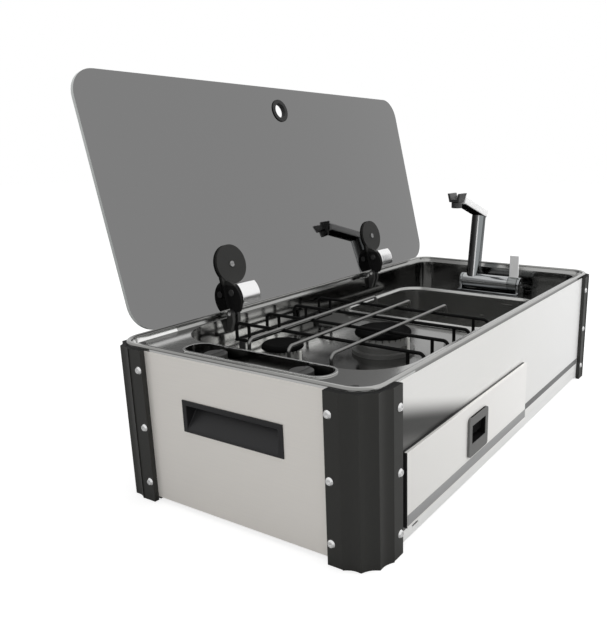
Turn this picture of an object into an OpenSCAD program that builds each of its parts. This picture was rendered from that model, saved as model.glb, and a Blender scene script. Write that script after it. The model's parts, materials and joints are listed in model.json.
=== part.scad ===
// Slide-out camper kitchen: a long box with a drawer, a gas hob, a sink with a
// folding tap and a hinged glass lid. X runs along the box with the hob at -X,
// Y runs from the drawer front to the lid hinges, and Z is up from the base.

/* [Casing] */
// Length over the end panels
case_len = 834; // [800:2:880]
// Width over the front and rear panels
case_wid = 400; // [390:2:440]
// Height of the corner profiles
profile_h = 212.5; // [212:0.5:220]
// Height of the panels' top edge
panel_top = 211; // [209:0.5:211.5]
// Height of the end panels' bottom edge
panel_low = 5.3; // [3:0.1:8]
// Height of the front panel's bottom edge
front_low = 20.3; // [18:0.1:24]
// Thickness of the panels
panel_t = 3; // [2:0.5:4]
// How far a corner profile stands proud of the panels
flange_t = 6.9; // [5:0.1:8]
// Width of a profile flange from the panel corner
flange_w = 56.4; // [54:0.2:66]
// Inner radius of a corner profile
corner_r = 35; // [32:0.5:38]
// Height of the ridges along a corner profile
ridge_h = 2.2; // [1:0.1:2.5]
// Diameter of a panel screw's button head
screw_head_d = 10.5; // [8:0.5:11]
// Height of a panel screw's button head
screw_head_h = 2.2; // [1.5:0.1:3]
// Diameter of a panel screw's shank
screw_d = 5; // [4:0.5:6]
// Width of a carry handle's frame
handle_w = 162; // [120:2:200]
// Height of a carry handle's frame
handle_h = 43; // [36:1:50]
// Height of a carry handle's lower edge
handle_z = 114; // [100:1:120]
// Depth of a carry handle's recess
handle_deep = 22; // [16:1:26]

/* [Top tray] */
// Height of the rolled rim's crown
rim_top = 218; // [217.5:0.5:219]
// Width of the rolled rim
rim_w = 12; // [11:0.5:13]
// Thickness of the pressed tray
tray_t = 1.5; // [1:0.1:2]
// Height of the left deck
deck_z = 208; // [206:0.5:209]
// Height of the recess floor
floor_z = 165; // [164:0.5:166]
// Left edge of the recess
recess_x = -343; // [-346:1:-338]
// Front edge of the recess
recess_y = -176; // [-178:1:-172]
// Rear edge of the recess
recess_y2 = 184; // [183:0.5:184.5]
// Corner radius of the recess at the hob end
recess_r = 75; // [50:1:80]
// Depth of the knob trough
trough_deep = 14; // [12:0.5:16]
// Width of the knob trough
trough_w = 38; // [36:0.5:39]
// Length of the knob trough
trough_len = 230; // [200:2:250]

/* [Sink] */
// Middle of the bowl along the box
bowl_x = 160; // [156:1:162]
// Middle of the bowl across the box
bowl_y = 9; // [4:1:12]
// Length of the bowl's rim
bowl_len = 270; // [262:1:272]
// Width of the bowl's rim
bowl_wid = 318; // [300:1:330]
// Corner radius of the bowl's rim
bowl_r = 50; // [42:1:56]
// How far the bowl's rim stands above the recess floor
bowl_rim_h = 8; // [5:0.5:8.5]
// Height of the underside of the bowl's floor
bowl_low = 30; // [28:0.5:32]
// Diameter of the waste hole
waste_d = 46; // [40:1:50]
// Outer diameter of the waste hose tail
waste_tail_d = 25; // [19:0.5:25]

/* [Hob] */
// Middle of the small burner along the box
small_x = -266; // [-270:1:-262]
// Middle of the small burner across the box
small_y = 43; // [38:1:46]
// Diameter of the small burner's cap
small_cap_d = 59; // [50:1:60]
// Middle of the large burner along the box
large_x = -133; // [-138:1:-128]
// Middle of the large burner across the box
large_y = -40; // [-46:1:-34]
// Diameter of the large burner's cap
large_cap_d = 85; // [78:1:90]
// Height of the top of the burner caps
cap_top = 200; // [196:0.5:200.5]
// Diameter of the pan support's wires and rods
wire_d = 5; // [4:0.5:5.5]
// Height of the pan support's cross wires
wire_z = 204; // [203.5:0.5:204.5]
// Spacing of the rods that carry the pans
rod_step = 69; // [60:1:72]
// Length of the rods that carry the pans
rod_len = 323; // [300:1:328]
// Diameter of a control knob
knob_d = 30; // [24:1:31]

/* [Lid] */
// Length of the glass lid
lid_len = 792.6; // [760:0.2:800]
// Depth of the glass lid
lid_wid = 349; // [335:0.5:352]
// Thickness of the glass
glass_t = 5; // [4:0.5:6]
// Corner radius of the glass
lid_r = 38; // [25:1:45]
// Angle that the open lid leans back beyond upright
lid_lean = 13; // [8:0.5:16]
// Spacing of the two lid hinges
hinge_step = 401; // [396:1:404]
// Diameter of a hinge's clamp disc
disc_d = 61; // [50:1:64]
// Thickness of a hinge's clamp disc
disc_t = 4; // [3:0.5:5]
// Radius of the round face of a hinge's chrome cover
hinge_cover_r = 30; // [26:0.5:31]
// Outer diameter of the ring in the lid
grommet_d = 38; // [32:1:42]

/* [Tap] */
// Place of the tap along the box
tap_x = 362; // [358:1:366]
// Height of the tap's folding axis
tap_z = 184; // [183:0.5:186]
// Diameter of the tap's pivot barrel
tap_barrel_d = 30; // [26:0.5:30]
// Length of the tap's post from the folding axis
post_len = 147; // [130:1:150]
// Width of the tap's post and arm across the box
post_w = 28; // [22:0.5:30]
// Depth of the tap's post
post_d = 26; // [20:0.5:27]
// Length of the tap's arm
arm_len = 103; // [90:1:106]
// Height of the tap's arm
arm_h = 20; // [14:0.5:22]

/* [Drawer] */
// Left edge of the drawer front
drawer_x = -353; // [-355:0.5:-350]
// Length of the drawer front
drawer_len = 391; // [360:1:395]
// Height of the drawer front's lower edge
drawer_z = 28; // [26:0.5:29]
// Height of the drawer front
drawer_h = 97; // [90:1:100]
// How far the drawer front stands proud of the front panel
drawer_proud = 8; // [6:0.5:10]
// Depth of the drawer box
drawer_deep = 320; // [250:5:340]
// Thickness of the drawer's walls
drawer_t = 1.5; // [1:0.1:2]
// Width of the latch plate
latch_w = 62; // [50:1:70]
// Height of the latch plate
latch_h = 58; // [50:1:62]

/* [Hidden] */
$fn = 64;
over = 1; // how far a cut runs past the face it leaves
fit = 0.3; // gap between parts that don't bear on each other
run = 0.05; // radial clearance of a pin in its bore

case_ref = 834; // case length for which the places along it are given
end_land = 57; // a corner profile's length, which stays when the case changes
along = (case_len / 2 - end_land) / (case_ref / 2 - end_land);
recess_left = recess_x * along;
bowl_mid = bowl_x * along;
bowl_l = bowl_len * along;
small_mid = small_x * along;
large_mid = large_x * along;
rod_l = rod_len * along;
glass_l = lid_len * along;
hinge_l = hinge_step * along;
tap_mid = tap_x * along;
drawer_left = drawer_x * along;
drawer_l = drawer_len * along;
hx = case_len / 2;
hy = case_wid / 2;
screw_inset = 5.8;
screw_end = 28.4; // first screw's height above the profile's foot
screw_head_end = 27; // last screw's depth below the profile's top
screw_zs = [screw_end, profile_h / 2, profile_h - screw_head_end];
lip_t = panel_t;
lip_top = panel_top - rim_w - lip_t;
corner_out = corner_r + flange_t;
slot_in = panel_t + fit;

// Rounded rectangle from (x0, y0) to (x1, y1)
module round_rect(x0, x1, y0, y1, r) {
    translate([x0 + r, y0]) square([x1 - x0 - 2 * r, y1 - y0]);
    translate([x0, y0 + r]) square([x1 - x0, y1 - y0 - 2 * r]);
    for (x = [x0 + r, x1 - r], y = [y0 + r, y1 - r]) translate([x, y]) circle(r);
}

// Carries an outline in (distance from the corner centre, height) round a rounded rectangle
module round_sweep(half_x, half_y, r) {
    for (a = [0, 180]) rotate(a) {
        translate([half_x - r, 0, 0]) rotate([90, 0, 0])
            linear_extrude(2 * (half_y - r), center = true) children();
        rotate(90) translate([half_y - r, 0, 0]) rotate([90, 0, 0])
            linear_extrude(2 * (half_x - r), center = true) children();
    }
    translate([half_x - r, half_y - r, 0]) rotate_extrude(angle = 90) children();
    translate([r - half_x, half_y - r, 0]) rotate(90) rotate_extrude(angle = 90) children();
    translate([r - half_x, r - half_y, 0]) rotate(180) rotate_extrude(angle = 90) children();
    translate([half_x - r, r - half_y, 0]) rotate(270) rotate_extrude(angle = 90) children();
}

// Bar of a round section between two points of one bend-free run
module rod_x(x0, x1, y, z, d) translate([x0, y, z]) rotate([0, 90, 0]) cylinder(d = d, h = x1 - x0);
module rod_y(x, y0, y1, z, d) translate([x, y1, z]) rotate([90, 0, 0]) cylinder(d = d, h = y1 - y0);
module rod_z(x, y, z0, z1, d) translate([x, y, z0]) cylinder(d = d, h = z1 - z0);

// Corner profile, drawn for the front left corner of the box
ridge_step = 30;
arc_steps = 5;
function facet_r(i) = corner_out + ridge_h * (pow(2 * i / arc_steps - 1, 2) - 1 / 2);
profile_arc = [for (k = [0:2], i = [0:arc_steps - 1])
    let (a = 180 + ridge_step * (k + i / arc_steps)) facet_r(i) * [cos(a), sin(a)]];
module profile_outline() {
    difference() {
        union() {
            translate([corner_r - hx, corner_r - hy])
                polygon(concat(profile_arc, [[0, -facet_r(0)], [0, 0]]));
            translate([-hx - flange_t, corner_r - hy - over])
                square([flange_t + slot_in + lip_t, flange_w - corner_r + over]);
            translate([corner_r - hx - over, -hy - flange_t])
                square([flange_w - corner_r + over, flange_t + slot_in + lip_t]);
        }
        translate([corner_r - hx, corner_r - hy]) intersection() {
            circle(corner_r);
            translate([-corner_r, -corner_r]) square(corner_r);
        }
        translate([-hx, corner_r - hy]) square([slot_in, flange_w]);
        translate([corner_r - hx, -hy]) square([flange_w, slot_in]);
        translate([corner_r - hx, corner_r - hy]) square(corner_r + flange_w);
    }
    translate([-hx - over, corner_r - hy - lip_t]) square([over + slot_in + lip_t, lip_t]);
    translate([corner_r - hx - lip_t, -hy - over]) square([lip_t, over + slot_in + lip_t]);
}
module screw_places() {
    for (z = screw_zs) {
        translate([-hx - flange_t, flange_w - screw_inset - hy, z]) rotate([0, 90, 0]) children();
        translate([flange_w - screw_inset - hx, -hy - flange_t, z]) rotate([-90, 0, 0]) children();
    }
}
module at_corner(sx, sy) mirror([sx > 0 ? 1 : 0, 0, 0]) mirror([0, sy > 0 ? 1 : 0, 0]) children();
module corner_profile(sx, sy) color([0.16, 0.16, 0.15]) at_corner(sx, sy) difference() {
    linear_extrude(profile_h) profile_outline();
    translate([-hx, corner_r - hy - lip_t, lip_top]) cube([flange_w, flange_w, profile_h]);
    translate([corner_r - hx - lip_t, -hy, lip_top]) cube([flange_w, flange_w, profile_h]);
    screw_places() translate([0, 0, -over]) cylinder(d = screw_d + 2 * fit, h = flange_t + panel_t * 4 + over);
}
module panel_screws() color("silver") for (sx = [-1, 1], sy = [-1, 1]) at_corner(sx, sy) screw_places() {
    cylinder(d = screw_d, h = flange_t + slot_in + lip_t);
    difference() {
        translate([0, 0, -screw_head_h]) cylinder(d1 = screw_head_d * 0.7, d2 = screw_head_d, h = screw_head_h);
        translate([0, 0, -screw_head_h - over]) cylinder(d = screw_d * 0.7, h = over + screw_head_h / 2, $fn = 6);
    }
}
module panel_screw_holes() for (sx = [-1, 1], sy = [-1, 1]) at_corner(sx, sy) screw_places()
    cylinder(d = screw_d + 2 * fit, h = flange_t + slot_in + lip_t);

// Panels
handle_frame_t = 5;
handle_cut = 2 * handle_frame_t - 2 * fit; // how much the panel's cut is smaller than the flange
module end_panel(side) color([0.73, 0.71, 0.69]) difference() {
    translate([side > 0 ? hx - panel_t : -hx, corner_r - hy + fit, panel_low])
        cube([panel_t, case_wid - 2 * corner_r - 2 * fit, panel_top - panel_low]);
    translate([side * hx, 0, handle_z + handle_h / 2])
        cube([4 * panel_t, handle_w - handle_cut, handle_h - handle_cut], center = true);
    panel_screw_holes();
}
gas_drop = 9; // gas rail below the recess floor
gas_in = 3; // gas rail past the recess wall
gas_z = floor_z - gas_drop;
gas_x = recess_left + gas_in;
gas_pipe_d = 8;
gas_wall = 1;
water_drop = 42; // water pipe below the recess floor
water_in = 12; // tap's shank, from the tap's axis towards the bowl
water_z = floor_z - water_drop;
water_x = tap_mid - water_in;
water_pipe_d = 10;
water_wall = 1.5;
water_plug = 2; // solid end at the shank
waste_clear = 4.5; // waste pipe above the tray's underside
waste_z = waste_tail_d / 2 + waste_clear;
tail_out = 28; // how far the service pipes stand out behind
collar_out = 8; // nut on each service pipe, outside the panel
collar_wall = 3;
module collar(x, z, d) rod_y(x, hy + fit, hy + collar_out, z, d + 2 * collar_wall);
module rear_panel() color([0.8, 0.79, 0.77]) difference() {
    translate([corner_r - hx + fit, hy - panel_t, panel_low])
        cube([case_len - 2 * corner_r - 2 * fit, panel_t, panel_top - panel_low]);
    rod_y(gas_x, hy - 2 * panel_t, hy + panel_t, gas_z, gas_pipe_d + 2 * fit);
    rod_y(water_x, hy - 2 * panel_t, hy + panel_t, water_z, water_pipe_d + 2 * fit);
    rod_y(bowl_mid, hy - 2 * panel_t, hy + panel_t, waste_z, waste_tail_d + 2 * fit);
    panel_screw_holes();
}
drawer_lap = 6;
drawer_x2 = drawer_left + drawer_l;
module front_panel() color([0.89, 0.89, 0.87]) difference() {
    translate([corner_r - hx + fit, -hy, front_low])
        cube([case_len - 2 * corner_r - 2 * fit, panel_t, panel_top - front_low]);
    translate([flange_w - hx, -hy - over, drawer_z + drawer_lap])
        cube([drawer_x2 - drawer_lap - (flange_w - hx), panel_t + 2 * over, drawer_h - 2 * drawer_lap]);
    panel_screw_holes();
}
handle_proud = 1.5;
handle_foot = 1.2; // flange below the recess
handle_wall = 2;
handle_top = handle_h - handle_frame_t - handle_wall;
module handle_recess() polygon([
    [-handle_proud - over, handle_foot],
    [-handle_proud, handle_foot],
    [0, handle_frame_t + handle_proud],
    [handle_deep - 2 * handle_wall, handle_top - 3 * handle_wall],
    [handle_deep - 2 * handle_wall, handle_top],
    [-handle_proud - over, handle_top]
]);
module handle_shell() polygon([
    [-over / 2, handle_frame_t],
    [handle_wall, handle_frame_t],
    [handle_deep, handle_top - 4 * handle_wall],
    [handle_deep, handle_h - handle_frame_t],
    [-over / 2, handle_h - handle_frame_t]
]);
module carry_handle(side) color([0.12, 0.12, 0.12]) mirror([side > 0 ? 1 : 0, 0, 0])
    translate([-hx, 0, handle_z]) difference() {
        union() {
            translate([-handle_proud, -handle_w / 2, 0]) cube([handle_proud, handle_w, handle_h]);
            rotate([90, 0, 0]) linear_extrude(handle_w - 2 * handle_frame_t, center = true) handle_shell();
        }
        rotate([90, 0, 0]) linear_extrude(handle_w - 2 * handle_frame_t - 2 * handle_wall, center = true)
            handle_recess();
    }

// Base tray: a flat pan that the box stands on, with a turned-up front edge
base_x = hx - slot_in - lip_t - fit;
base_y = hy - slot_in - lip_t - fit;
base_r = corner_r - slot_in - lip_t;
base_wall_h = front_low - fit;
ledge_x = hx - flange_w - 2 * fit;
slot_w = 15;
slot_h = 3;
module base_tray() color([0.8, 0.8, 0.79]) difference() {
    union() {
        linear_extrude(tray_t) round_rect(-base_x, base_x, -base_y, base_y, base_r);
        linear_extrude(base_wall_h) difference() {
            round_rect(-base_x, base_x, -base_y, base_y, base_r);
            round_rect(tray_t - base_x, base_x - tray_t, tray_t - base_y, base_y - tray_t, base_r - tray_t);
        }
        translate([-ledge_x, -hy, panel_low]) cube([2 * ledge_x, hy - base_y + tray_t / 2, tray_t]);
        translate([-ledge_x, -hy, panel_low]) cube([2 * ledge_x, tray_t, front_low - panel_low - fit]);
    }
    translate([-hx + 6 * slot_w, -hy - over, front_low - 2 * slot_h]) cube([slot_w, tray_t + 2 * over, slot_h]);
    rod_y(bowl_mid, base_y - 2 * tray_t, base_y + tray_t, waste_z, waste_tail_d + 2 * fit);
}

// Top tray with its rolled rim, deck, knob trough and recess
rim_x = hx - fit;
rim_y = hy - fit;
rim_r = corner_r - fit;
bead_r = 3.4;
rim_in = rim_r - rim_w;
recess_gap = 0.2; // between the recess's wall and the rim's inner fold
recess_x2 = rim_x - rim_w - tray_t - recess_gap;
recess_r2 = 30;
trough_land = 4; // deck left between the trough and the recess
trough_x = recess_left - trough_w / 2 - trough_land;
trough_floor = deck_z - trough_deep;
knob_past = 1; // knobs past the outer rods
knob_y = rod_step + knob_past;
hinge_place = hinge_l / 2;
module rim_outline() {
    translate([rim_r - bead_r, rim_top - bead_r]) circle(bead_r);
    translate([rim_r - bead_r, panel_top]) square([bead_r, rim_top - bead_r - panel_top]);
    polygon([
        [rim_r - 1.6 * bead_r, rim_top - bead_r / 2],
        [rim_r - bead_r, panel_top + fit],
        [rim_r - panel_t - 2 * fit - tray_t, panel_top],
        [rim_in + 2 * tray_t, deck_z - tray_t],
        [rim_in - tray_t, deck_z - tray_t],
        [rim_in - tray_t, deck_z],
        [rim_in + tray_t, deck_z]
    ]);
}
module recess_outline(grow) {
    round_rect(recess_left - grow, bowl_mid, recess_y - grow, recess_y2 + grow, recess_r + grow);
    round_rect(small_mid + recess_r, recess_x2 + grow, recess_y - grow, recess_y2 + grow, recess_r2 + grow);
}
trough_flat = 1; // flat left at the trough's round ends
trough_bead_w = 3; // bead pressed up round the trough
trough_bead_h = 1.6;
module trough_outline(grow) round_rect(trough_x - trough_w / 2 - grow, trough_x + trough_w / 2 + grow,
    -trough_len / 2 - grow, trough_len / 2 + grow, trough_w / 2 - trough_flat + grow);
module bowl_outline(grow) round_rect(bowl_mid - bowl_l / 2 - grow, bowl_mid + bowl_l / 2 + grow,
    bowl_y - bowl_wid / 2 - grow, bowl_y + bowl_wid / 2 + grow, bowl_r + grow);
shank_x = water_x;
shank_y = 15;
shank_d = 18;
stem_d = 6;
bowl_lip = 13.5;
body_in = 4; // burner body inside its cap's edge, all round
module top_tray() color([0.36, 0.36, 0.35]) difference() {
    union() {
        round_sweep(rim_x, rim_y, rim_r) rim_outline();
        translate([0, 0, deck_z - tray_t]) linear_extrude(tray_t) difference() {
            round_rect(rim_w - rim_x, rim_x - rim_w, rim_w - rim_y, rim_y - rim_w, rim_in);
            recess_outline(0);
            trough_outline(0);
        }
        translate([0, 0, floor_z - tray_t]) linear_extrude(deck_z - floor_z + tray_t) difference() {
            recess_outline(tray_t);
            recess_outline(0);
        }
        translate([0, 0, floor_z - tray_t]) linear_extrude(tray_t) recess_outline(tray_t);
        translate([0, 0, trough_floor - tray_t]) linear_extrude(trough_deep + tray_t) difference() {
            trough_outline(tray_t);
            trough_outline(0);
        }
        translate([0, 0, trough_floor - tray_t]) linear_extrude(tray_t) trough_outline(tray_t);
        translate([0, 0, deck_z - tray_t]) linear_extrude(tray_t + trough_bead_h) difference() {
            trough_outline(trough_bead_w);
            trough_outline(0);
        }
    }
    translate([0, 0, floor_z - 2 * tray_t]) linear_extrude(3 * tray_t) bowl_outline(fit - bowl_lip + tray_t);
    rod_z(small_mid, small_y, floor_z - 2 * tray_t, floor_z + tray_t, small_cap_d - 2 * body_in + 2 * fit);
    rod_z(large_mid, large_y, floor_z - 2 * tray_t, floor_z + tray_t, large_cap_d - 2 * body_in + 2 * fit);
    rod_z(shank_x, shank_y, floor_z - 2 * tray_t, floor_z + tray_t, shank_d + 2 * fit);
    for (s = [-1, 1])
        rod_z(trough_x, s * knob_y, trough_floor - 2 * tray_t, trough_floor + tray_t, stem_d + 4 * fit);
}
buffer_d = 10;
module lid_buffers() color([0.1, 0.1, 0.1]) for (y = [recess_y + buffer_d, recess_y2 - buffer_d])
    rod_z(rim_w + buffer_d - rim_x, y, deck_z, deck_z + bead_r, buffer_d);

// Sink bowl, strainer and waste
bowl_hx = bowl_l / 2;
bowl_hy = bowl_wid / 2;
rim_crown = bowl_rim_h * 0.45;
rim_round = 1; // fall of the rim's outer edge
module bowl_section() polygon([
    [bowl_r, floor_z],
    [bowl_r, floor_z + tray_t],
    [bowl_r - rim_crown, floor_z + bowl_rim_h - rim_round],
    [bowl_r - 1.5 * rim_crown, floor_z + bowl_rim_h],
    [bowl_r - 2.6 * rim_crown, floor_z + bowl_rim_h],
    [bowl_r - bowl_lip, floor_z + bowl_rim_h / 2],
    [bowl_r - bowl_lip, bowl_low],
    [bowl_r - bowl_lip + tray_t, bowl_low],
    [bowl_r - bowl_lip + tray_t, floor_z]
]);
module sink_bowl() color([0.42, 0.42, 0.41]) difference() {
    union() {
        translate([bowl_mid, bowl_y, 0]) round_sweep(bowl_hx, bowl_hy, bowl_r) bowl_section();
        translate([0, 0, bowl_low]) linear_extrude(tray_t) bowl_outline(-bowl_lip + tray_t);
    }
    rod_z(bowl_mid, bowl_y, bowl_low - over, bowl_low + tray_t + over, waste_d);
}
strainer_lap = 8;
strainer_d = waste_d + 2 * strainer_lap;
strainer_t = 2;
strainer_skirt = 6;
strainer_wall = 3;
strainer_hole_d = 7;
hole_ring = waste_d * 0.28;
module waste_strainer() color("silver") translate([bowl_mid, bowl_y, bowl_low + tray_t]) difference() {
    union() {
        cylinder(d = strainer_d, h = strainer_t);
        translate([0, 0, -tray_t - strainer_skirt]) cylinder(d = waste_d - 2 * fit, h = tray_t + strainer_skirt);
    }
    translate([0, 0, -tray_t - strainer_skirt - over])
        cylinder(d = waste_d - 2 * strainer_wall, h = tray_t + strainer_skirt + over);
    for (a = [0:60:300]) rotate(a) translate([hole_ring, 0, -over])
        cylinder(d = strainer_hole_d, h = strainer_t + 2 * over);
}
cup_wall = 3;
cup_floor = 2;
tail_wall = 2.5;
cup_d = waste_d + 2 * cup_wall;
module waste_elbow() color([0.14, 0.14, 0.14]) difference() {
    union() {
        rod_z(bowl_mid, bowl_y, waste_z - waste_tail_d / 2, bowl_low, cup_d);
        rod_y(bowl_mid, bowl_y, hy + tail_out, waste_z, waste_tail_d);
        collar(bowl_mid, waste_z, waste_tail_d);
    }
    rod_z(bowl_mid, bowl_y, waste_z - waste_tail_d / 2 + cup_floor, bowl_low + over, waste_d + fit);
    rod_y(bowl_mid, bowl_y, hy + tail_out + over, waste_z, waste_tail_d - 2 * tail_wall);
}

// Burners: a body through the floor, a slotted crown and a cap
body_deep = 22;
body_low = floor_z - body_deep;
body_floor = 3;
body_wall = 6;
body_top = 14; // height of the body above the recess floor
collar_lap = 5; // flange past the cap's edge
collar_h = 6;
body_step = 2;
crown_in = 5; // crown inside the cap's edge
crown_wall = 6;
crown_roof = 3;
port_w = 1.6;
port_h = 5;
port_deep = 9;
jet_d = 7;
jet_z = 8;
cap_h = 8;
cap_bevel = 4;
module burner_body(x, y, cap_d) color([0.62, 0.62, 0.6]) difference() {
    union() {
        rod_z(x, y, body_low, floor_z + over, cap_d - 2 * body_in);
        rod_z(x, y, floor_z, floor_z + collar_h, cap_d + 2 * collar_lap);
        rod_z(x, y, floor_z, floor_z + body_top, cap_d - 2 * body_step);
    }
    rod_z(x, y, body_low + body_floor, floor_z + body_top + over, cap_d - 2 * (body_in + body_wall));
    rod_x(x - cap_d, x, y, body_low + jet_z, jet_d);
}
module burner_crown(x, y, cap_d) color([0.7, 0.7, 0.68]) difference() {
    rod_z(x, y, floor_z + body_top, cap_top - cap_h, cap_d - 2 * crown_in);
    rod_z(x, y, floor_z + body_top - over, cap_top - cap_h - crown_roof, cap_d - 2 * (crown_in + crown_wall));
    for (a = [0:15:345]) translate([x, y, cap_top - cap_h - port_h]) rotate(a)
        translate([cap_d / 2 - crown_in - port_deep, -port_w / 2, 0])
            cube([port_deep + over, port_w, port_h + over]);
}
module burner_cap(x, y, cap_d) color([0.1, 0.1, 0.1]) translate([x, y, cap_top - cap_h]) {
    cylinder(d = cap_d, h = cap_h * 0.6);
    translate([0, 0, cap_h * 0.6]) cylinder(d1 = cap_d, d2 = cap_d - 2 * cap_bevel, h = cap_h * 0.4);
}
pin_d = 4;
pin_gap = 1;
pin_base_h = 3;
pin_lip = 1;
module igniter(x, y, cap_d) {
    rod_z(x, y - cap_d / 2 - pin_d / 4, floor_z + collar_h, cap_top - cap_h - pin_gap, pin_d);
    rod_z(x, y - cap_d / 2 - pin_d / 4, floor_z + collar_h, floor_z + collar_h + pin_base_h, pin_d + pin_lip);
}
module igniters() color([0.9, 0.9, 0.87]) {
    igniter(small_mid, small_y, small_cap_d);
    igniter(large_mid, large_y, large_cap_d);
}

// Pan support: black cross wires on low rails, bright rods on top
wire_off = 36; // first wire past the small burner's centre
wire_xs = [for (i = [0:3]) small_mid + wire_off + i * rod_step * along];
wire_y = 163;
leg_step = 25;
wire_y2 = wire_y - leg_step;
rail_up = 13;
rail_z = floor_z + rail_up;
bend_r = 8;
rod_off = 18; // middle of the rods past the second wire
rod_mid = wire_xs[1] + rod_off;
rod_z0 = wire_z + wire_d;
module wire_bend(y, z, a) translate([0, y, z]) rotate([a, 0, 0]) rotate([0, 90, 0])
    rotate_extrude(angle = 90) translate([bend_r, 0]) circle(d = wire_d);
module pan_support_wires() color([0.1, 0.1, 0.1]) {
    for (x = wire_xs) {
        rod_y(x, bend_r - wire_y, wire_y - bend_r, wire_z, wire_d);
        for (s = [0, 1]) translate([x, 0, 0]) mirror([0, s, 0]) {
            wire_bend(wire_y - bend_r, wire_z - bend_r, 90);
            rod_z(0, wire_y, rail_z, wire_z - bend_r, wire_d);
            rod_z(0, wire_y2, rail_z, wire_z, wire_d);
        }
    }
    for (y = [-wire_y, -wire_y2, wire_y2, wire_y])
        rod_x(wire_xs[0] - wire_d / 2, wire_xs[3] + wire_d / 2, y, rail_z, wire_d);
    for (x = wire_xs, s = [-1, 1])
        rod_y(x, s > 0 ? wire_y2 : -wire_y, s > 0 ? wire_y : -wire_y2, rail_z, wire_d);
}
module pan_support_rods() color([0.75, 0.75, 0.73]) for (y = [-rod_step, 0, rod_step], s = [0, 1])
    translate([rod_mid, y, 0]) mirror([s, 0, 0]) {
        rod_x(0, rod_l / 2 - bend_r, 0, rod_z0, wire_d);
        translate([rod_l / 2 - bend_r, 0, rod_z0 - bend_r]) rotate([90, 0, 0])
            rotate_extrude(angle = 90) translate([bend_r, 0]) circle(d = wire_d);
        rod_z(rod_l / 2, 0, wire_z - 3 * wire_d, rod_z0 - bend_r, wire_d);
    }
foot_d = 10;
module pan_support_feet() color([0.08, 0.08, 0.08]) difference() {
    for (x = [wire_xs[0] + foot_d, wire_xs[3] - foot_d], y = [-wire_y, wire_y])
        rod_z(x, y, floor_z, rail_z, foot_d);
    for (y = [-wire_y, wire_y]) rod_x(wire_xs[0], wire_xs[3], y, rail_z, wire_d + 2 * run);
}

// Controls and gas
valve_d = 24;
valve_deep = 18;
valve_low = floor_z - valve_deep;
valve_boss = 3;
knob_h = 11.5;
grip_w = 6;
grip_h = 1.4;
grip_in = 2; // grip bar inside the knob's edge
module gas_valve(s) color([0.7, 0.58, 0.3]) {
    rod_z(trough_x, s * knob_y, valve_low, trough_floor - tray_t - fit, valve_d);
    rod_z(trough_x, s * knob_y, valve_low, trough_floor + 2 * fit + knob_h * 0.8, stem_d);
    difference() {
        rod_x(trough_x, gas_x, s * knob_y, gas_z, gas_pipe_d + 2 * valve_boss);
        rod_y(gas_x, s * knob_y - valve_d, s * knob_y + valve_d, gas_z, gas_pipe_d + 2 * run);
    }
}
module at_knob(s) translate([trough_x, s * knob_y, trough_floor + fit]) children();
module control_knob(s) color([0.2, 0.2, 0.2]) at_knob(s) difference() {
    union() {
        cylinder(d = knob_d, h = knob_h);
        translate([grip_in - knob_d / 2, -grip_w / 2, knob_h - over])
            cube([knob_d - 2 * grip_in, grip_w, grip_h + over]);
    }
    translate([0, 0, -over]) cylinder(d = stem_d + 2 * run, h = knob_h * 0.8 + over + fit);
}
module gas_rail() color([0.72, 0.45, 0.3]) difference() {
    union() {
        rod_y(gas_x, -knob_y - gas_pipe_d, hy + tail_out, gas_z, gas_pipe_d);
        collar(gas_x, gas_z, gas_pipe_d);
    }
    rod_y(gas_x, -knob_y, hy + tail_out + over, gas_z, gas_pipe_d - 2 * gas_wall);
}

// Lid and hinges, drawn closed in (y, z) and turned open about the hinge axis
hinge_in = 7; // hinge axis, in from the recess wall
hinge_down = 2; // hinge axis below the rim's top
lid_set = 6.7; // glass edge in front of the hinge axis
lid_over = 3.6; // glass above the hinge axis
hinge_y = recess_y2 - hinge_in;
hinge_z = rim_top - hinge_down;
lid_open = 90 + lid_lean;
lid_rear = hinge_y - lid_set;
lid_under = hinge_z + lid_over;
disc_gap = 36.5; // glass between its rear edge and the disc
disc_y = lid_rear - disc_gap - disc_d / 2;
grommet_edge = 1; // glass between the grommet and the front edge
grommet_y = lid_rear - lid_wid + grommet_d + grommet_edge;
grommet_lip = 2;
grommet_lap = 4; // flange on the glass round the hole
grommet_wall = 3;
grommet_hole = grommet_d - 2 * grommet_lap;
bolt_d = 6;
bolt_clear = 2;
bolt_lap = 3; // bolt head wider than the bolt
bolt_lip = 1.5;
bolt_slot = 1;
cheek_t = 5;
cheek_off = -19.5; // cheek from the middle of its disc
cheek_r = hinge_cover_r;
cheek_s = 15; // cheek's centre from the glass edge
cheek_up = 3; // cheek's centre above the glass face
cheek_y = lid_rear - cheek_s;
cheek_z = lid_under + cheek_up;
knuckle_r = 5.5;
pin_r = 3;
rib_w = 4.5; // rib on the glass, along the cheek
rib_t = 3;
cover_len = 38;
cover_s1 = 5; // chrome cover, from and to these places from the glass edge
cover_s2 = 36;
cover_s = 17; // centre of the cover's round
cover_up = 1;
spindle_s = 24;
spindle_down = 12;
spindle_d = 7;
spindle_head = 2;
module opened() translate([0, hinge_y, hinge_z]) rotate([-lid_open, 0, 0])
    translate([0, -hinge_y, -hinge_z]) children();
module glass_lid() color([0.5, 0.5, 0.5]) opened() difference() {
    translate([0, 0, lid_under]) linear_extrude(glass_t)
        round_rect(-glass_l / 2, glass_l / 2, lid_rear - lid_wid, lid_rear, lid_r);
    rod_z(0, grommet_y, lid_under - over, lid_under + glass_t + over, grommet_hole);
    for (s = [-1, 1])
        rod_z(s * hinge_place, disc_y, lid_under - over, lid_under + glass_t + over, bolt_d + bolt_clear);
}
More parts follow.
